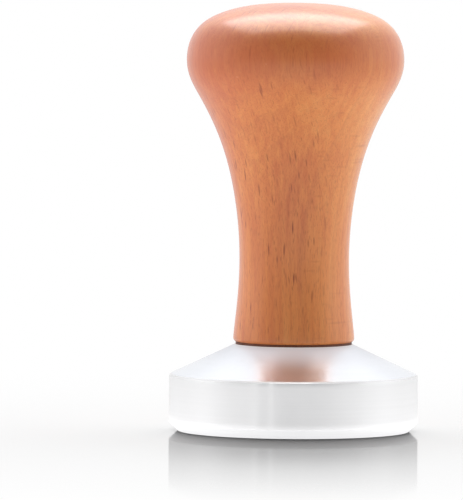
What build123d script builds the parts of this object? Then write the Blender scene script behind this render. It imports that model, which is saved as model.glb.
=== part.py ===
from build123d import *
import math
import os

os.makedirs("parts", exist_ok=True)

# Espresso tamper: turned beech mushroom handle screwed onto a turned aluminium base.
# Everything is turned about Z. Origin: centre of the flat tamping face, handle up +Z.
# Lengths in mm.

# ---- shared by several pieces ----
overrun = 1.0                # how far cutters run past an open face
root_overlap = 0.1           # how far a helical tooth is sunk into its core
drill_slope = math.tan(math.radians(31.0))   # rise of a drill point per unit radius

# M8 x 1.25 thread of base, stud and insert
pitch = 1.25
flank_slope = math.tan(math.radians(30.0))
male_crest_r = 3.96
male_root_r = 3.24
female_minor_r = 3.33
female_groove_r = 4.05
pitch_line_r = (male_crest_r + male_root_r) / 2
male_mid_w = 0.545           # axial tooth width at the pitch line
female_mid_w = 0.705         # axial groove width at the pitch line

# ---- base ----
base_r = 51.0 / 2
bottom_bevel = 1.85          # 45 degree bevel round the tamping face
rim_top_z = 11.34            # top of the cylindrical rim
rim_bevel = 0.35             # 45 degree broken edge between rim and cone
base_top_z = 17.85           # small flat the washer lies on
base_top_r = 12.3
base_top_chamfer = 0.15
base_drill_z = 5.2           # bottom of the full-diameter part of the tapping drill
base_thread_z0 = 5 * pitch
base_thread_z1 = 15 * pitch
tap_relief_depth = 0.9       # plain relief at the mouth of the tapped hole
tap_relief_r = 4.3

# ---- stud ----
sweep_count = 4              # the thread is laid in several lengths, end to end
turns_per_sweep = 5
stud_z0 = 6 * pitch
stud_z1 = stud_z0 + sweep_count * turns_per_sweep * pitch
stud_end_r = 3.0             # radius left flat inside the end chamfers
socket_flats = 4.0           # hex socket across flats
socket_depth = 5.0
socket_cone_depth = 0.9      # conical bottom below the hex
socket_cone_r = socket_flats / 2 * 0.98
socket_cone_overlap = 0.02
socket_mouth_depth = 0.25    # 45 degree countersink round the hex
socket_mouth_r = socket_flats / math.sqrt(3) - 0.15   # countersink radius at its bottom
socket_mouth_rise = 0.10     # the countersink cone runs on this far above the end

# ---- washer ----
washer_t = 0.40
washer_r = 11.9
washer_hole_r = 4.3

# ---- threaded insert (knife-thread wood insert) ----
handle_z0 = base_top_z + washer_t
insert_z0 = handle_z0 + 1.0  # set above the foot of the handle
insert_z1 = insert_z0 + 14.5
insert_root_r = 5.35
insert_crest_r = 6.30
insert_pitch = 2.0
knife_root_w = 0.95          # axial widths of the knife tooth
knife_crest_w = 0.22
knife_end_margin = 0.9       # least plain length at each end of the insert
knife_z0 = insert_pitch * math.ceil((insert_z0 + knife_end_margin) / insert_pitch)
knife_z1 = insert_pitch * math.floor((insert_z1 - knife_end_margin) / insert_pitch)
bore_margin = 2.0            # least run of the inner thread past each end
insert_mouth_depth = 0.8     # countersink at each end of the bore
insert_mouth_r = female_groove_r + 0.1
slot_w = 1.6
slot_depth = 1.9
slot_len = 20.0              # longer than the insert is wide

# ---- handle ----
wood_gap = 0.04              # clearance of the cut thread in the wood
handle_drill_r = insert_root_r + wood_gap
handle_drill_z = 36.0        # top of the full-diameter part of the blind hole
recess_depth = 1.0           # counterbore below the insert
recess_r = 6.7
wood_thread_margin = 1.5     # least run of the cut thread below the foot
wood_thread_extra = 0.5      # run of the cut thread above the knife thread
foot_edge_r = 0.8            # rounding of the foot edge
foot_r = 12.40
foot_z = handle_z0 + foot_edge_r
# turned profile (radius, z) from the crown down to just above the foot
handle_profile = [
    (0.0, 87.70), (5.71, 87.53), (10.00, 87.01), (13.48, 86.20), (16.22, 85.20),
    (18.58, 83.85), (20.76, 81.53), (22.19, 77.35), (21.81, 73.07), (19.57, 68.47),
    (16.62, 62.75), (13.71, 54.60), (12.09, 46.64), (11.36, 39.59), (11.35, 30.64),
    (12.12, 22.08), (foot_r, foot_z),
]


def turned(points):
    """Solid of revolution about Z from a closed (radius, z) polygon."""
    wire = Polyline(*[(radius, 0.0, z) for radius, z in points], close=True)
    return revolve(make_face(wire), Axis.Z)


def rod(radius, z0, z1):
    """Cylinder on Z between two heights."""
    return Pos(0, 0, (z0 + z1) / 2) * Cylinder(radius, z1 - z0)


def ridge(lead, z0, z1, core_r, root_w, crest_r, crest_w):
    """Right-hand helical tooth, sunk into a core of radius core_r.

    z0 must be a whole number of leads so that teeth of mating parts line up.
    """
    root_r = core_r - root_overlap
    mid_r = (root_r + crest_r) / 2
    helix = Helix(pitch=lead, height=z1 - z0, radius=mid_r)
    plane = Plane(origin=helix @ 0, x_dir=(1, 0, 0), z_dir=helix % 0)
    tooth = plane * Polygon(
        (root_r - mid_r, -root_w / 2), (crest_r - mid_r, -crest_w / 2),
        (crest_r - mid_r, crest_w / 2), (root_r - mid_r, root_w / 2), align=None)
    return Pos(0, 0, z0) * sweep(tooth, path=helix, is_frenet=True)


def screw_ridge(z0, z1, core_r, crest_r, mid_w):
    """Ridge with the M8 flank angle, mid_w wide at the pitch line."""
    def width_at(radius):
        return mid_w - 2 * (radius - pitch_line_r) * flank_slope

    return ridge(pitch, z0, z1, core_r, width_at(core_r - root_overlap),
                 crest_r, width_at(crest_r))


def female_ridge(z0, z1):
    """Ridge that cuts the groove of a tapped hole."""
    return screw_ridge(z0, z1, female_minor_r, female_groove_r, female_mid_w)


def end_trim(z, sign):
    """Ring that cuts a 45 degree chamfer on a stud end; sign +1 top, -1 bottom."""
    ring_r = male_crest_r + 2.0
    return turned([
        (stud_end_r, z + sign * 0.001), (stud_end_r, z + sign * 3.0),
        (ring_r, z + sign * 3.0), (ring_r, z - sign * (ring_r - stud_end_r)),
    ])


def make_base():
    base = turned([
        (0, 0), (base_r - bottom_bevel, 0), (base_r, bottom_bevel), (base_r, rim_top_z),
        (base_r - rim_bevel, rim_top_z + rim_bevel),
        (base_top_r, base_top_z - base_top_chamfer),
        (base_top_r - base_top_chamfer, base_top_z), (0, base_top_z),
    ])
    tap = turned([
        (0, base_drill_z - female_minor_r * drill_slope), (female_minor_r, base_drill_z),
        (female_minor_r, base_top_z + overrun), (0, base_top_z + overrun),
    ])
    tap += female_ridge(base_thread_z0, base_thread_z1)
    base -= tap
    return base - rod(tap_relief_r, base_top_z - tap_relief_depth, base_top_z + overrun)


def make_stud():
    """Set screw with a hex socket in its upper end."""
    stud = rod(male_root_r, stud_z0, stud_z1)
    sweep_len = turns_per_sweep * pitch
    for k in range(sweep_count):
        stud += screw_ridge(stud_z0 + k * sweep_len, stud_z0 + (k + 1) * sweep_len,
                            male_root_r, male_crest_r, male_mid_w)
    stud -= end_trim(stud_z1, +1)
    stud -= end_trim(stud_z0, -1)

    socket_z = stud_z1 - socket_depth
    hexagon = RegularPolygon(socket_flats / 2, 6, major_radius=False)
    stud -= Pos(0, 0, socket_z) * extrude(hexagon, socket_depth + overrun)
    stud -= turned([
        (0, socket_z - socket_cone_depth), (socket_cone_r, socket_z + socket_cone_overlap),
        (0, socket_z + socket_cone_overlap),
    ])
    mouth_z = stud_z1 - socket_mouth_depth
    mouth_top_r = socket_mouth_r + socket_mouth_depth + socket_mouth_rise
    return stud - turned([
        (0, stud_z1 + overrun), (0, mouth_z), (socket_mouth_r, mouth_z),
        (mouth_top_r, stud_z1 + socket_mouth_rise), (mouth_top_r, stud_z1 + overrun),
    ])


def make_washer():
    middle = Pos(0, 0, base_top_z + washer_t / 2)
    return middle * (Cylinder(washer_r, washer_t) - Cylinder(washer_hole_r, washer_t * 2))


def make_insert():
    insert = rod(insert_root_r, insert_z0, insert_z1)
    insert += ridge(insert_pitch, knife_z0, knife_z1, insert_root_r, knife_root_w,
                    insert_crest_r, knife_crest_w)
    bore_z0 = pitch * math.floor((insert_z0 - bore_margin) / pitch)
    bore_z1 = pitch * math.ceil((insert_z1 + bore_margin) / pitch)
    insert -= rod(female_minor_r, bore_z0, bore_z1) + female_ridge(bore_z0, bore_z1)
    for z, sign in ((insert_z0, -1), (insert_z1, +1)):
        inner_z = z - sign * insert_mouth_depth
        outer_z = z + sign * overrun
        insert -= turned([
            (0, outer_z), (0, inner_z), (female_minor_r, inner_z),
            (insert_mouth_r, z), (insert_mouth_r, outer_z),
        ])
    # slot across the lower end, along X
    slot_mid_z = insert_z0 + (slot_depth - overrun) / 2
    return insert - Pos(0, 0, slot_mid_z) * Box(slot_len, slot_w, slot_depth + overrun)


def make_handle():
    crown_z = handle_profile[0][1]
    side = Spline(*[(radius, 0.0, z) for radius, z in handle_profile],
                  tangents=[(1, 0, 0), (0.05, 0, -1)])
    arc_inset = foot_edge_r * (1 - math.sqrt(0.5))
    under_r = foot_r - foot_edge_r
    foot = ThreePointArc((foot_r, 0, foot_z),
                         (foot_r - arc_inset, 0, handle_z0 + arc_inset),
                         (under_r, 0, handle_z0))
    under = Line((under_r, 0, handle_z0), (0, 0, handle_z0))
    spine = Line((0, 0, handle_z0), (0, 0, crown_z))
    handle = revolve(make_face(Wire([side, foot, under, spine])), Axis.Z)

    hole = turned([
        (0, handle_z0 - overrun), (handle_drill_r, handle_z0 - overrun),
        (handle_drill_r, handle_drill_z),
        (0, handle_drill_z + handle_drill_r * drill_slope),
    ])
    wood_z0 = insert_pitch * math.floor((handle_z0 - wood_thread_margin) / insert_pitch)
    hole += ridge(insert_pitch, wood_z0, knife_z1 + wood_thread_extra,
                  handle_drill_r, knife_root_w + 2 * wood_gap,
                  insert_crest_r + wood_gap, knife_crest_w + 2 * wood_gap)
    handle -= hole
    return handle - rod(recess_r, handle_z0 - overrun, handle_z0 + recess_depth)


pieces = {
    "base": make_base(),
    "stud": make_stud(),
    "washer": make_washer(),
    "threaded_insert": make_insert(),
    "handle": make_handle(),
}
for name, shape in pieces.items():
    solids = shape.solids()
    assert len(solids) == 1 and solids[0].is_valid, (name, len(solids))
    piece = solids[0]
    piece.label = name
    export_step(piece, f"parts/{name}.step")
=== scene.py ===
"""A coffee tamper: a turned beech handle on a turned aluminium base, with its metal fittings.

The piece stands upright on z = 0, turned about the Z axis. The camera looks along +Y, so
-Y is the front and +X is the right. Profiles and material patterns are in millimetres,
the scene is in metres.
"""
import math

import bmesh
import bpy
import numpy as np
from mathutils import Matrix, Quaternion, Vector


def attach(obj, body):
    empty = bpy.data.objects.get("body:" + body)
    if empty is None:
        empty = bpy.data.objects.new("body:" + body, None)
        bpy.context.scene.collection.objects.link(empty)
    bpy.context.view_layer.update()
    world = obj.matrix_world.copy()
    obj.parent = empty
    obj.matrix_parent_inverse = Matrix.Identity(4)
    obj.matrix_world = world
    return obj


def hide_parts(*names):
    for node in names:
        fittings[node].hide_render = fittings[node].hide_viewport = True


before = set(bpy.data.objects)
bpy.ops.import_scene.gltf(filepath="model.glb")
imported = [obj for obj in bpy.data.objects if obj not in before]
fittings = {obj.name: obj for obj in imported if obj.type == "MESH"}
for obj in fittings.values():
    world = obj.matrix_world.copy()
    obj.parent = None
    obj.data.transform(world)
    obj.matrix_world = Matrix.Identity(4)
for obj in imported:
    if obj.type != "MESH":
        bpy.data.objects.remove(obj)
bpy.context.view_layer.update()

MM = 0.001
scene = bpy.context.scene

# ------------------------------------------------------------------ sizes (mm)
BASE_R = 25.5
BOTTOM_BEVEL = 1.85
RIM_TOP_Z = 11.34
RIM_BEVEL = 0.35
BASE_TOP_Z = 17.85
BASE_TOP_R = 12.3
BASE_TOP_BEVEL = 0.15
SOCKET_MOUTH_R = 4.3
SOCKET_MOUTH_Z = BASE_TOP_Z - 0.9
SOCKET_R = 4.06
BASE_SEGMENTS = 256
BASE_LONGEST = 1.2          # longest straight step of the base outline

HANDLE_GAP = 0.40           # between the base's top and the handle's foot
HANDLE_Z = BASE_TOP_Z + HANDLE_GAP
FOOT_R = 12.40
FOOT_ROUND = 0.8
BORE_MOUTH_R = 6.7
BORE_MOUTH_Z = HANDLE_Z + 1.0
BORE_R = 6.35
DRILL_R = 5.39
HANDLE_SEGMENTS = 192
HANDLE_LONGEST = 1.5        # longest straight step of the bore outline
CROWN_POINTS = 190

# outside of the handle, from the top down to the foot's round: radius, z
HANDLE_OUTSIDE = [
    (0.0, 87.70), (5.71, 87.53), (10.00, 87.01), (13.48, 86.20), (16.22, 85.20),
    (18.58, 83.85), (20.76, 81.53), (22.19, 77.35), (21.81, 73.07), (19.57, 68.47),
    (16.62, 62.75), (13.71, 54.60), (12.09, 46.64), (11.36, 39.59), (11.35, 30.64),
    (12.12, 22.08), (FOOT_R, HANDLE_Z + FOOT_ROUND),
]
# hole in the handle, from the foot up to the drill's tip: radius, z
HANDLE_BORE = [
    (BORE_MOUTH_R, HANDLE_Z), (BORE_MOUTH_R, BORE_MOUTH_Z), (BORE_R, BORE_MOUTH_Z),
    (BORE_R, 34.3), (DRILL_R, 34.6), (DRILL_R, 36.0), (0.0, 39.24),
]
# base, from the middle of its underside out and up to its socket's tip: radius, z, round
BASE_OUTLINE = [
    (0.0, 0.0, 0.0),
    (BASE_R - BOTTOM_BEVEL, 0.0, 0.12),
    (BASE_R, BOTTOM_BEVEL, 0.22),
    (BASE_R, RIM_TOP_Z, 0.11),
    (BASE_R - RIM_BEVEL, RIM_TOP_Z + RIM_BEVEL, 0.11),
    (BASE_TOP_R, BASE_TOP_Z - BASE_TOP_BEVEL, 0.05),
    (BASE_TOP_R - BASE_TOP_BEVEL, BASE_TOP_Z, 0.05),
    (SOCKET_MOUTH_R, BASE_TOP_Z, 0.0),
    (SOCKET_MOUTH_R, SOCKET_MOUTH_Z, 0.0),
    (SOCKET_R, SOCKET_MOUTH_Z, 0.0),
    (SOCKET_R, 5.9, 0.0),
    (3.33, 5.2, 0.0),
    (0.0, 3.2, 0.0),
]


# ------------------------------------------------------------------ outlines and lathe
def spline(knots, start_slope, end_slope, count):
    """Clamped cubic through knots, parametrised by chord length."""
    points = np.array(knots, float)
    chord = np.r_[0, np.cumsum(np.hypot(*np.diff(points, axis=0).T))]
    size = len(chord)
    gap = np.diff(chord)
    system = np.zeros((size, size))
    right = np.zeros((size, 2))
    system[0, 0] = system[-1, -1] = 1.0
    right[0], right[-1] = start_slope, end_slope
    for i in range(1, size - 1):
        system[i, i - 1:i + 2] = gap[i], 2 * (gap[i - 1] + gap[i]), gap[i - 1]
        right[i] = 3 * (gap[i] * (points[i] - points[i - 1]) / gap[i - 1]
                        + gap[i - 1] * (points[i + 1] - points[i]) / gap[i])
    slope = np.linalg.solve(system, right)
    curve = []
    for along in np.linspace(0, chord[-1], count):
        i = min(int(np.searchsorted(chord, along, side="right")) - 1, size - 2)
        t = (along - chord[i]) / gap[i]
        r, z = ((2 * t**3 - 3 * t**2 + 1) * points[i]
                + (t**3 - 2 * t**2 + t) * gap[i] * slope[i]
                + (-2 * t**3 + 3 * t**2) * points[i + 1]
                + (t**3 - t**2) * gap[i] * slope[i + 1])
        curve.append((float(r), float(z)))
    return curve


def rounded(corners, steps=4):
    """Open outline through (r, z, round) corners, with an arc at each rounded one."""
    points = [np.array(corner[:2], float) for corner in corners]
    outline = [tuple(points[0])]
    for i in range(1, len(points) - 1):
        radius = corners[i][2]
        before, corner, after = points[i - 1:i + 2]
        if radius <= 0:
            outline.append(tuple(corner))
            continue
        to_before = (before - corner) / np.linalg.norm(before - corner)
        to_after = (after - corner) / np.linalg.norm(after - corner)
        angle = math.acos(max(-1, min(1, float(to_before @ to_after))))
        cut = radius / math.tan(angle / 2)
        middle = to_before + to_after
        centre = corner + middle / np.linalg.norm(middle) * (radius / math.sin(angle / 2))
        first = corner + to_before * cut - centre
        last = corner + to_after * cut - centre
        sweep = math.acos(max(-1, min(1, float(first @ last) / radius**2)))
        for k in range(steps + 1):
            t = k / steps
            arm = math.sin((1 - t) * sweep) * first + math.sin(t * sweep) * last
            outline.append(tuple(centre + arm / math.sin(sweep)))
    outline.append(tuple(points[-1]))
    return outline


def split_long(points, longest):
    """Adds points on long straight stretches, so the lathe's quads stay even."""
    outline = [points[0]]
    for (r0, z0), (r1, z1) in zip(points, points[1:]):
        parts = max(1, int(math.ceil(math.hypot(r1 - r0, z1 - z0) / longest)))
        for k in range(1, parts + 1):
            outline.append((r0 + (r1 - r0) * k / parts, z0 + (z1 - z0) * k / parts))
    return outline


def add_mesh(name, verts, faces):
    mesh = bpy.data.meshes.new(name)
    mesh.from_pydata(verts, [], faces)
    return mesh


def add_object(name, data):
    obj = bpy.data.objects.new(name, data)
    scene.collection.objects.link(obj)
    return obj


def lathe(name, profile, segments):
    """Closed quad skin turned about Z from an (r, z) profile whose ends lie on the axis."""
    angles = np.arange(segments) * 2 * math.pi / segments
    verts, faces, rings = [], [], []
    for r, z in profile:
        if r < 1e-6:
            rings.append([len(verts)])
            verts.append((0, 0, z * MM))
        else:
            rings.append(list(range(len(verts), len(verts) + segments)))
            verts += [(r * MM * math.cos(a), r * MM * math.sin(a), z * MM) for a in angles]
    for ring, after in zip(rings, rings[1:]):
        for i in range(segments):
            j = (i + 1) % segments
            if len(ring) == 1 and len(after) > 1:
                faces.append((ring[0], after[i], after[j]))
            elif len(after) == 1 and len(ring) > 1:
                faces.append((ring[i], after[0], ring[j]))
            elif len(ring) > 1:
                faces.append((ring[i], after[i], after[j], ring[j]))
    mesh = add_mesh(name, verts, faces)
    mesh.update()
    work = bmesh.new()
    work.from_mesh(mesh)
    bmesh.ops.recalc_face_normals(work, faces=work.faces)
    work.to_mesh(mesh)
    work.free()
    for polygon in mesh.polygons:
        polygon.use_smooth = True
    mesh.set_sharp_from_angle(angle=math.radians(35))
    return add_object(name, mesh)


# ------------------------------------------------------------------ node helpers
class Net:
    """Builds a shader tree. Values may be sockets, which are linked, or plain numbers."""

    def __init__(self, owner):
        self.tree = owner.node_tree
        self.tree.nodes.clear()

    def put(self, socket, value):
        if isinstance(value, bpy.types.NodeSocket):
            self.tree.links.new(value, socket)
        elif value is not None:
            socket.default_value = value

    def node(self, kind, inputs=None, **props):
        made = self.tree.nodes.new(kind)
        for key, value in props.items():
            setattr(made, key, value)
        for key, value in (inputs or {}).items():
            self.put(made.inputs[key], value)
        return made

    def math(self, operation, *values, clamp=False):
        return self.node("ShaderNodeMath", dict(enumerate(values)),
                         operation=operation, use_clamp=clamp).outputs[0]

    def add(self, a, b):
        return self.math("ADD", a, b)

    def sub(self, a, b):
        return self.math("SUBTRACT", a, b)

    def mul(self, value, by):
        return self.math("MULTIPLY", value, by)

    def mul_add(self, value, by, plus):
        return self.math("MULTIPLY_ADD", value, by, plus)

    def hypot(self, a, b):
        return self.math("SQRT", self.add(self.mul(a, a), self.mul(b, b)))

    def vmath(self, operation, a, b=None):
        made = self.node("ShaderNodeVectorMath", {0: a, 1: b}, operation=operation)
        return made.outputs["Value" if operation in ("LENGTH", "DOT_PRODUCT") else 0]

    def xyz(self, x, y, z):
        return self.node("ShaderNodeCombineXYZ", {0: x, 1: y, 2: z}).outputs[0]

    def split(self, vector):
        return self.node("ShaderNodeSeparateXYZ", {0: vector}).outputs

    def coords(self, kind="Object"):
        return self.node("ShaderNodeTexCoord").outputs[kind]

    def object_mm(self):
        scaled = self.vmath("SCALE", self.coords())
        scaled.node.inputs["Scale"].default_value = 1 / MM
        return scaled

    def noise(self, vector, scale, detail=2.0, rough=0.5):
        return self.node("ShaderNodeTexNoise", {
            "Vector": vector, "Scale": scale, "Detail": detail, "Roughness": rough}).outputs[0]

    def cells(self, vector):
        """Distance to the nearest point of a random lattice of unit cells."""
        made = self.node("ShaderNodeTexVoronoi", {"Vector": vector, "Scale": 1.0})
        return made.outputs["Distance"]

    def ramp(self, factor, stops):
        made = self.node("ShaderNodeValToRGB", {0: factor})
        elements = made.color_ramp.elements
        elements.remove(elements[-1])
        for k, (position, colour) in enumerate(stops):
            stop = elements[0] if k == 0 else elements.new(position)
            stop.position = position
            stop.color = (*colour, 1.0)
        return made.outputs[0]

    def smooth(self, value, over, to=(0.0, 1.0)):
        """Smooth step between the two ends of `to` while value runs from over[0] to over[1]."""
        return self.node("ShaderNodeMapRange", {
            "Value": value, "From Min": over[0], "From Max": over[1],
            "To Min": to[0], "To Max": to[1]},
            interpolation_type="SMOOTHSTEP", clamp=True).outputs[0]

    def mix(self, factor, *colours):
        first, second = [colour if isinstance(colour, bpy.types.NodeSocket) else (*colour, 1.0)
                         for colour in colours]
        return self.node("ShaderNodeMix", {0: factor, 6: first, 7: second},
                         data_type="RGBA", blend_type="MIX").outputs[2]

    def tint(self, painted_glow_for_metal, over, mask, amount):
        return self.mix(self.mul(mask, amount), painted_glow_for_metal, over)

    def bump(self, height, strength, distance):
        return self.node("ShaderNodeBump", {
            "Strength": strength, "Distance": distance, "Height": height}).outputs[0]

    def shader(self, kind, inputs=None):
        return self.node("ShaderNode" + kind, inputs).outputs[0]

    def mix_shader(self, factor, first, second):
        return self.shader("MixShader", {0: factor, 1: first, 2: second})

    def output(self, shader, kind="Material"):
        self.node("ShaderNodeOutput" + kind, {"Surface": shader})


def new_material(name):
    material = bpy.data.materials.new(name)
    material.use_nodes = True
    return material, Net(material)


def srgb(*channels):
    """Linear colour from 0-255 sRGB channels."""
    parts = [channel / 255.0 for channel in channels]
    return tuple(c / 12.92 if c <= 0.04045 else ((c + 0.055) / 1.055) ** 2.4 for c in parts)


def assign(obj, material):
    obj.data.materials.clear()
    obj.data.materials.append(material)


# ------------------------------------------------------------------ materials
def beech():
    """Solid beech cut from one board: growth rings round a distant pith, fibres along Z.
    Rays show as short dark dashes on the flat-sawn face, more faintly on the quarter-sawn
    face, with faint darker cross flecks towards the right."""
    pith_x, pith_y = 43.0, 74.0             # behind on the right, at z = 0
    lean_x, lean_y = 0.030, -0.045          # how the pith leans against the axis
    arc_r = 86.0                            # radius that turns angles into mm round the ring
    ring_rate = 0.40                        # growth rings per mm
    material, net = new_material("turned_beech")
    place = net.object_mm()
    # slow wander of the grain, up to a few mm sideways
    wander = net.noise(net.vmath("MULTIPLY", place, (1.0, 1.0, 0.22)), scale=0.045)
    wander = net.vmath("SUBTRACT", wander.node.outputs["Color"], (0.5, 0.5, 0.5))
    wander = net.vmath("MULTIPLY", wander, (7.0, 7.0, 0.0))
    x, y, z = net.split(net.vmath("ADD", place, wander))
    from_x = net.sub(net.mul_add(z, lean_x, x), pith_x)
    from_y = net.sub(net.mul_add(z, lean_y, y), pith_y)
    radial = net.hypot(from_x, from_y)
    angle = net.math("ARCTAN2", from_y, from_x)
    around = net.mul(angle, arc_r)

    # growth rings of uneven width, thin darker latewood edge
    uneven = net.noise(net.xyz(net.mul(radial, 0.16), 3.7, 0.0), scale=1.0, detail=3.0, rough=0.6)
    ring = net.add(net.mul(radial, ring_rate), net.mul(uneven, 2.6))
    phase = net.math("FRACT", ring)
    late = net.mul(net.smooth(phase, over=(0.45, 0.93)), net.smooth(phase, over=(1.0, 0.95)))
    year = net.noise(net.xyz(net.math("FLOOR", ring), 11.3, 0.0), scale=0.73, detail=0.0)
    # fibre streaks, each drawn out along Z by its small z factor
    streak = net.noise(net.xyz(net.mul(radial, 1.0), around, net.mul(z, 0.035)),
                       scale=1.1, detail=4.0, rough=0.6)
    fine = net.noise(net.xyz(radial, around, net.mul(z, 0.10)), scale=5.5, detail=3.0, rough=0.65)
    broad = net.noise(net.xyz(net.mul(radial, 0.09), net.mul(around, 0.07), net.mul(z, 0.012)),
                      scale=1.0)

    def rays(across, along, deep, shift, edge):
        """Dashes in cells of the given size in mm; shift moves the pattern, edge widens it."""
        cell = net.xyz(net.mul_add(around, 1.0 / across, shift),
                       net.mul_add(z, 1.0 / along, shift * 1.7),
                       net.mul_add(radial, 1.0 / deep, shift * 2.3))
        return net.smooth(net.cells(cell), over=(edge, 0.05))

    large = rays(across=1.05, along=8.5, deep=30.0, shift=0.0, edge=0.21)
    medium = rays(across=0.80, along=5.2, deep=24.0, shift=5.1, edge=0.24)
    small = rays(across=0.55, along=3.0, deep=18.0, shift=9.7, edge=0.26)
    ray = net.math("MAXIMUM", large, net.mul(medium, 0.8))
    ray = net.math("MAXIMUM", ray, net.mul(small, 0.55))
    # they come and go with the grain, and are weaker on the right and near the top
    patches = net.noise(place, scale=0.16, rough=0.6)
    ray = net.mul(ray, net.smooth(patches, over=(0.38, 0.62), to=(0.30, 1.1)))
    ray = net.mul(ray, net.mul(net.smooth(x, over=(14.0, -1.0), to=(0.30, 1.0)),
                               net.smooth(z, over=(85.0, 50.0), to=(0.65, 1.0))))
    # the quarter-sawn face is the one whose normal lies along the rings
    normal = net.node("ShaderNodeNewGeometry").outputs["Normal"]
    tangent = net.xyz(net.mul(net.math("SINE", angle), -1.0), net.math("COSINE", angle), 0.0)
    facing = net.math("ABSOLUTE", net.vmath("DOT_PRODUCT", normal, tangent))
    quarter = net.smooth(facing, over=(0.55, 0.95))

    # colour: broad and streaky tone, a little lighter towards the right
    tone = net.add(net.mul(broad, 0.60), net.mul(streak, 0.40))
    tone = net.mul_add(net.add(x, net.mul(y, 0.3)), by=0.0050, plus=tone)
    colour = net.ramp(tone, [(0.32, srgb(199, 99, 47)), (0.44, srgb(210, 116, 57)),
                             (0.55, srgb(221, 132, 64)), (0.70, srgb(230, 151, 77))])
    colour = net.tint(colour, srgb(168, 84, 48), late, amount=0.11)
    colour = net.tint(colour, srgb(186, 98, 60), net.smooth(year, over=(0.35, 0.65)), amount=0.10)
    colour = net.tint(colour, srgb(150, 72, 40), net.smooth(fine, over=(0.48, 0.68)), amount=0.32)
    dark_ray = net.mul(ray, net.mul_add(quarter, by=-0.66, plus=0.86))
    colour = net.mix(dark_ray, colour, srgb(140, 58, 22))
    # faint cross flecks where the board turns towards quarter-sawn
    fleck_cell = net.xyz(net.mul(around, 0.30), net.mul(z, 0.95), net.mul(radial, 0.05))
    fleck = net.smooth(net.cells(fleck_cell), over=(0.38, 0.04))
    fleck_patches = net.smooth(net.noise(place, scale=0.10), over=(0.44, 0.60))
    fleck = net.mul(fleck, net.mul(net.smooth(x, over=(-1.0, 6.0)), fleck_patches))
    colour = net.tint(colour, srgb(166, 84, 40), fleck, amount=0.26)
    # end grain drinks more finish, so the crown and foot are a little darker;
    # the band round the handle's widest part is painted shade, darkened the same way
    normal_z = net.split(normal)[2]
    end_grain = net.smooth(net.math("ABSOLUTE", normal_z), over=(0.55, 1.0))
    painted_shade_belt = net.mul(net.smooth(z, over=(66.0, 78.0), to=(0.0, 0.48)),
                   net.smooth(normal_z, over=(0.85, 0.35)))
    end_grain_and_painted_shade = net.math("MAXIMUM", net.mul(end_grain, 0.10), painted_shade_belt)
    colour = net.mix(end_grain_and_painted_shade, colour, srgb(194, 92, 48))

    # relief: fibres stand up, rays and latewood sink; the lacquer is softly uneven
    height = net.add(net.mul(fine, 0.5), net.add(net.mul(ray, -0.6), net.mul(late, -0.25)))
    lacquer = net.add(net.mul(net.noise(place, scale=0.55), 1.0), net.mul(height, 0.08))
    gloss = net.noise(place, scale=0.3, detail=3.0, rough=0.6)
    net.output(net.shader("BsdfPrincipled", {
        "Base Color": colour,
        "Roughness": net.mul_add(fine, by=0.16, plus=0.42),
        "Specular IOR Level": 0.30,
        "Normal": net.bump(height, strength=0.22, distance=0.00004),
        "Subsurface Weight": 0.0,
        "Subsurface Radius": (0.0012, 0.0006, 0.0003),
        "Subsurface Scale": 1.0,
        "Coat Weight": 0.85,
        "Coat IOR": 1.48,
        "Coat Roughness": net.mul_add(gloss, by=0.10, plus=0.20),
        "Coat Normal": net.bump(lacquer, strength=0.10, distance=0.00012),
    }))
    return material


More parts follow.
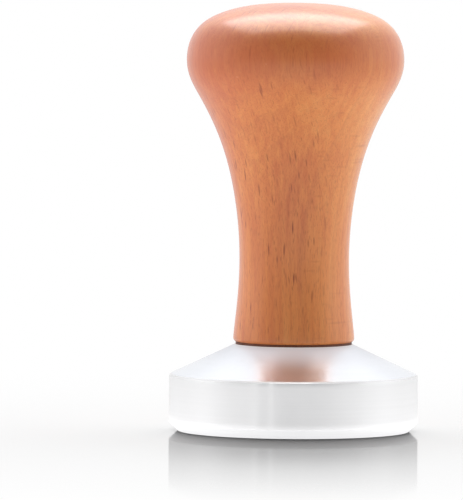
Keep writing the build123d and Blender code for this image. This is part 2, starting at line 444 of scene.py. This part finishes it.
def aluminium():
    """Fine turning marks round Z: a clear reflection mixed with a soft, stretched haze."""
    feed_pitch = 0.16                       # mm between tool lines
    material, net = new_material("turned_aluminium")
    place = net.object_mm()
    x, y, z = net.split(place)
    r = net.hypot(x, y)
    angle = net.math("ARCTAN2", y, x)
    # tool path coordinate: along the profile (radius and height together)
    path = net.add(r, net.mul(z, 0.9))
    lines = net.noise(net.xyz(path, net.mul(angle, 0.6), 0.0), scale=9.0, detail=3.0, rough=0.7)
    bands = net.noise(net.xyz(path, net.mul(angle, 0.25), 4.0), scale=2.3, rough=0.6)
    feed = net.math("SINE", net.mul(path, 2 * math.pi / feed_pitch))
    groove = net.add(net.mul(lines, 1.0), net.mul(feed, 0.10))
    smear = net.noise(place, scale=0.14, detail=4.0, rough=0.6)
    normal = net.bump(groove, strength=0.07, distance=0.000012)
    colour = net.mix(net.smooth(bands, over=(0.35, 0.65)), srgb(247, 247, 248), srgb(245, 245, 246))
    rough = net.add(net.mul_add(smear, by=0.08, plus=0.09),
                    net.mul(net.smooth(lines, over=(0.4, 0.7)), 0.05))
    tangent = net.node("ShaderNodeTangent", direction_type="RADIAL", axis="Z").outputs[0]

    # parts of the base, told apart by how steeply they face up or down
    steep = net.node("ShaderNodeNewGeometry").outputs["Normal"]
    steep = net.math("ABSOLUTE", net.split(steep)[2])
    bevels = net.mul(net.smooth(steep, over=(0.35, 0.60)), net.smooth(steep, over=(0.86, 0.78)))
    cone = net.mul(net.smooth(steep, over=(0.87, 0.89)), net.smooth(steep, over=(0.96, 0.93)))
    rim = net.smooth(steep, over=(0.30, 0.10))
    inner_cone = net.mul(net.smooth(r, over=(22.5, 13.5)), cone)
    # painted reflection: the cone is tinted cool blue-white, the cast of the room it mirrors, not a
    # colour of the metal
    colour = net.tint(colour, srgb(239, 242, 248), cone, amount=0.9)

    def lobe(roughness, anisotropic):
        return net.shader("BsdfPrincipled", {
            "Base Color": colour,
            "Metallic": 1.0,
            "Roughness": roughness,
            "Anisotropic": anisotropic,
            "Anisotropic Rotation": 0.25,
            "Tangent": tangent,
            "Normal": normal,
        })

    # share of haze: more on the bevels and the inner cone, less on the rest of the cone
    haze_share = net.mul_add(bevels, by=0.40, plus=0.45)
    haze_share = net.mul_add(cone, by=-0.17, plus=haze_share)
    haze_share = net.mul_add(inner_cone, by=0.60, plus=haze_share)
    clear = lobe(roughness=net.mul_add(cone, by=0.05, plus=rough),
                 anisotropic=net.mul_add(cone, by=-0.40, plus=0.45))
    hazy = net.mul_add(net.math("MAXIMUM", bevels, inner_cone), by=0.12, plus=net.add(rough, 0.34))
    haze = lobe(roughness=net.mul_add(rim, by=-0.05, plus=hazy),
                anisotropic=net.mul_add(rim, by=0.24, plus=0.70))
    net.output(net.mix_shader(haze_share, clear, haze))
    return material


def fitting_metal(name, light, dark):
    """Small turned fittings, with tool marks, and painted shade that darkens them in their hollows.
    """
    material, net = new_material(name)
    place = net.object_mm()
    x, y, z = net.split(place)
    r = net.hypot(x, y)
    blotch = net.noise(place, scale=0.7, detail=4.0, rough=0.6)
    marks = net.noise(net.xyz(net.mul(r, 1.0), 0.0, net.mul(z, 1.0)), scale=6.0, rough=0.6)
    colour = net.mix(net.smooth(blotch, over=(0.35, 0.70)), light, dark)
    # painted shade: the colour darkens where ambient occlusion finds the surface hemmed in, down in
    # the thread roots
    open_sky = net.node("ShaderNodeAmbientOcclusion", {"Distance": 0.0009}, samples=4)
    painted_hollow_shade = net.smooth(open_sky.outputs["AO"], over=(0.85, 0.25))
    net.output(net.shader("BsdfPrincipled", {
        "Base Color": net.mix(painted_hollow_shade, colour, tuple(c * 0.45 for c in dark)),
        "Metallic": 1.0,
        "Roughness": net.mul_add(blotch, by=0.18, plus=0.22),
        "Normal": net.bump(marks, strength=0.25, distance=0.00002),
    }))
    return material


def rubber():
    material, net = new_material("washer_rubber")
    grain = net.noise(net.object_mm(), scale=3.0, detail=4.0, rough=0.7)
    # the washer's dark brown copies the shaded line at the seam under the handle's foot: partly its
    # own colour, partly painted shade
    net.output(net.shader("BsdfPrincipled", {
        "Base Color": net.mix(net.smooth(grain, over=(0.3, 0.7)),
                              srgb(128, 76, 54), srgb(94, 55, 40)),
        "Roughness": net.mul_add(grain, by=0.2, plus=0.55),
        "Normal": net.bump(grain, strength=0.3, distance=0.00004),
    }))
    return material


# ------------------------------------------------------------------ pieces
def make_handle():
    crown = spline(HANDLE_OUTSIDE, start_slope=(1.0, 0.0), end_slope=(0.05, -1.0),
                   count=CROWN_POINTS)
    foot = [(FOOT_R - FOOT_ROUND + FOOT_ROUND * math.cos(a),
             HANDLE_Z + FOOT_ROUND - FOOT_ROUND * math.sin(a))
            for a in np.linspace(0, math.pi / 2, 9)[1:]]
    bore = split_long([foot[-1]] + HANDLE_BORE, HANDLE_LONGEST)[1:]
    return lathe("handle_turned", crown + foot + bore, HANDLE_SEGMENTS)


handle = make_handle()
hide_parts("handle")
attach(handle, "handle")

base = lathe("base_turned", split_long(rounded(BASE_OUTLINE), BASE_LONGEST), BASE_SEGMENTS)
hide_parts("base")
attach(base, "base")

assign(handle, beech())
assign(base, aluminium())
assign(fittings["stud"],
       fitting_metal("zinc_plated_steel", light=srgb(206, 208, 212), dark=srgb(170, 174, 182)))
assign(fittings["threaded_insert"],
       fitting_metal("turned_brass", light=srgb(226, 190, 112), dark=srgb(196, 152, 78)))
assign(fittings["washer"], rubber())

# closes the one collapsed triangle at the tip of the hex socket's drill point
weld = fittings["stud"].modifiers.new("weld", "WELD")
weld.merge_threshold = 1e-6

# ------------------------------------------------------------------ studio
scene.view_settings.view_transform = "Standard"
scene.view_settings.look = "None"
scene.view_settings.exposure = 0.0
scene.view_settings.gamma = 1.0

# upright light strips: azimuth from the front towards +X, half width (degrees), strength
STRIPS = [(-21, 2.5, 0.75), (-36.5, 3.5, 0.34), (38, 3, 0.16), (8, 3, 0.14), (70, 5, 0.12),
          (3, 40, 0.05)]
# tall side panels: azimuth of the inner and outer edge (degrees), strength
PANELS = [(-32.0, -125.0, 0.27), (41.5, 125.0, 0.26)]
PANEL_INNER_FADE, PANEL_OUTER_FADE = 3.0, 45.0


def studio_world():
    """White sweep behind and at the sides, dark room behind the camera (-Y)
    and overhead towards it. The camera itself sees plain white."""
    world = bpy.data.worlds.new("studio")
    scene.world = world
    world.use_nodes = True
    net = Net(world)
    x, y, z = net.split(net.coords("Generated"))
    ray = net.node("ShaderNodeLightPath").outputs
    back = net.smooth(y, over=(-0.72, 0.18))
    overhead = net.mul(net.smooth(z, over=(0.35, 0.85)), net.smooth(y, over=(0.30, 0.05)))
    level = net.mul_add(back, by=net.smooth(z, over=(0.42, 0.66), to=(0.64, 0.82)), plus=0.36)
    # the matt wood is lit from the sides, by flags that stand out of the metal's reflections
    flags = net.mul_add(net.smooth(y, over=(-0.52, 0.02)), by=1.52, plus=0.06)
    level = net.node("ShaderNodeMix", {0: ray["Is Diffuse Ray"], 2: level, 3: flags},
                     data_type="FLOAT").outputs[0]
    level = net.mul(level, net.mul_add(overhead, by=-0.60, plus=1.0))
    azimuth = net.math("ARCTAN2", x, net.mul(y, -1.0))

    # seen as pale streaks down the turned rim
    for centre, width, strength in STRIPS:
        off = net.math("ABSOLUTE", net.sub(azimuth, math.radians(centre)))
        strip = net.smooth(off, over=(math.radians(width), math.radians(width * 0.45)))
        strip = net.mul(strip, strength)
        level = net.add(level, net.mul(strip, net.smooth(z, over=(0.75, 0.55))))
    # the two panels leave a darker middle with crisp edges on the rim
    metal_only = net.sub(1.0, ray["Is Diffuse Ray"])
    for inner, outer, strength in PANELS:
        inner_end = inner + math.copysign(PANEL_INNER_FADE, inner)
        outer_end = outer - math.copysign(PANEL_OUTER_FADE, outer)
        panel = net.mul(
            net.smooth(azimuth, over=(math.radians(inner), math.radians(inner_end))),
            net.smooth(azimuth, over=(math.radians(outer), math.radians(outer_end)),
                       to=(0.0, strength)))
        level = net.add(level, net.mul(panel, metal_only))
    # the counter's mirror image is dimmer than the piece that stands on it
    mirrored = net.math("GREATER_THAN", ray["Glossy Depth"], 1.5)
    level = net.mul(level, net.mul_add(mirrored, by=-0.60, plus=1.0))

    white = (1.0, 1.0, 1.0, 1.0)
    room = net.shader("Background", {"Strength": level, "Color": white})
    plain = net.shader("Background", {"Strength": 1.0, "Color": white})
    net.output(net.mix_shader(ray["Is Camera Ray"], room, plain), kind="World")


def acrylic():
    """Glossy white counter that glows as painted light, brightest for diffuse rays, which lights
    the handle from below, and fading into plain white away from the base.
    """
    material, net = new_material("white_acrylic_floor")
    grain = net.noise(net.coords(), scale=400.0)
    place = net.coords()
    distance = net.vmath("LENGTH", place)
    # painted shadow: the counter is darker in an oval just in front of the base, where it keeps the
    # light off
    painted_shadow_oval = net.vmath("ADD", place, (0.0, 0.058, 0.0))
    painted_shadow_oval = net.vmath("LENGTH", net.vmath("MULTIPLY", painted_shadow_oval, (40.0, 22.0, 0.0)))
    polish = net.shader("BsdfPrincipled", {
        "Base Color": net.mix(net.smooth(painted_shadow_oval, over=(1.25, 0.15)),
                              (0.58, 0.58, 0.585), (0.36, 0.36, 0.365)),
        "Roughness": net.mul_add(grain, by=0.03, plus=0.05),
        "IOR": 1.45,
    })
    # 1 at the base's edge, falling to 0 over fade_width (m)
    fade_start, fade_width = 0.025, 0.175
    far = net.math("DIVIDE", net.sub(distance, fade_start), fade_width)
    near = net.math("POWER", net.math("SUBTRACT", 1.0, far, clamp=True), 1.3)
    ray = net.node("ShaderNodeLightPath").outputs
    # painted light: the counter glows, a little more for the camera and more again for diffuse rays
    glow = net.shader("Emission", {"Strength": net.mul_add(
        ray["Is Camera Ray"], by=0.10,
        plus=net.mul_add(ray["Is Diffuse Ray"], by=0.48, plus=0.90))})
    # painted light: for the metal's first glossy bounce the counter glows, brightest near the base,
    # so the turned metal sees the counter bright, while its own mirror image on the polish stays
    # deep
    first = net.math("COMPARE", ray["Ray Depth"], 1.0, 0.1)
    first = net.mul(first, ray["Is Glossy Ray"])
    to_metal = net.smooth(distance, over=(0.058, 0.028), to=(0.42, 0.96))
    painted_glow_for_metal = net.shader("Emission", {"Strength": net.mul(first, to_metal)})
    lit = net.shader("AddShader", {0: polish, 1: painted_glow_for_metal})
    top = net.mix_shader(near, glow, lit)
    # clear from below, so the tamping face can be looked at
    below = net.node("ShaderNodeNewGeometry").outputs["Backfacing"]
    net.output(net.mix_shader(below, top, net.shader("BsdfTransparent")))
    material.cycles.emission_sampling = "NONE"
    return material


def make_floor():
    half, z = 3.0, -0.00002
    corners = [(-half, -half, z), (half, -half, z), (half, half, z), (-half, half, z)]
    floor_material = acrylic()
    floor = add_object("floor", add_mesh("floor", corners, [(0, 1, 2, 3)]))
    assign(floor, floor_material)


def softbox(name, where, aim, size, power):
    light = bpy.data.lights.new(name, "AREA")
    light.shape = "RECTANGLE"
    light.size, light.size_y = size
    light.energy = power
    box = add_object(name, light)
    box.location = where
    box.rotation_euler = (Vector(aim) - Vector(where)).to_track_quat("-Z", "Y").to_euler()
    return box


def light_group(name, obj):
    group = bpy.data.collections.new(name)
    group.objects.link(obj)
    return group


def make_lights():
    sky_z = 0.684
    # overhead behind the piece: one box for the wood's gloss, one for all matt shading
    gloss = softbox("sky_gloss", where=(0.0, 0.31, sky_z), aim=(0.0, 0.31, 0.0),
                    size=(0.80, 0.80), power=8.2)
    gloss.visible_diffuse = False
    only_wood = light_group("lit_by_sky_gloss", handle)
    gloss.light_linking.receiver_collection = only_wood
    matt = softbox("sky_matt", where=(0.0, 0.39, sky_z), aim=(0.0, 0.39, 0.0),
                   size=(0.80, 0.66), power=5.9)
    matt.visible_glossy = False
    # a strip over the front that only the base picks up, on its broken edge
    edge = softbox("edge_strip", where=(0.0, -0.135, 0.62), aim=(0.0, -0.02, 0.011),
                   size=(0.70, 0.045), power=1.0)
    edge.visible_diffuse = False
    edge.light_linking.receiver_collection = light_group("lit_by_edge_strip", base)
    # bounce off the pale cone and counter onto the foot of the handle
    for name, where, power in (("kick_left", (-0.085, -0.02, 0.030), 0.015),
                               ("kick_right", (0.085, -0.02, 0.030), 0.010),
                               ("kick_front", (0.0, -0.085, 0.022), 0.003)):
        kick = softbox(name, where, aim=(0.0, 0.0, 0.030), size=(0.040, 0.040), power=power)
        kick.visible_glossy = kick.visible_camera = False
        kick.light_linking.receiver_collection = only_wood


def make_camera():
    """Long lens at the front, just above the counter."""
    distance = 2.0
    field_width = 0.1024                    # width in view at the target (m)
    elevation, roll = math.radians(3.11), math.radians(0.36)
    target = Vector((-0.01286, 0.0, 0.0370))
    data = bpy.data.cameras.new("camera")
    data.sensor_width = 36.0
    data.lens = 36.0 * distance / field_width
    data.clip_start = 0.05
    data.clip_end = 20.0
    camera = bpy.data.objects.new("camera", data)
    toward = Vector((0.0, -math.cos(elevation), math.sin(elevation)))
    camera.location = target + toward * distance
    aim = (target - camera.location).to_track_quat("-Z", "Y")
    camera.rotation_euler = (aim @ Quaternion((0.0, 0.0, 1.0), roll)).to_euler()
    scene.collection.objects.link(camera)
    scene.camera = camera


studio_world()
make_floor()
make_lights()
make_camera()
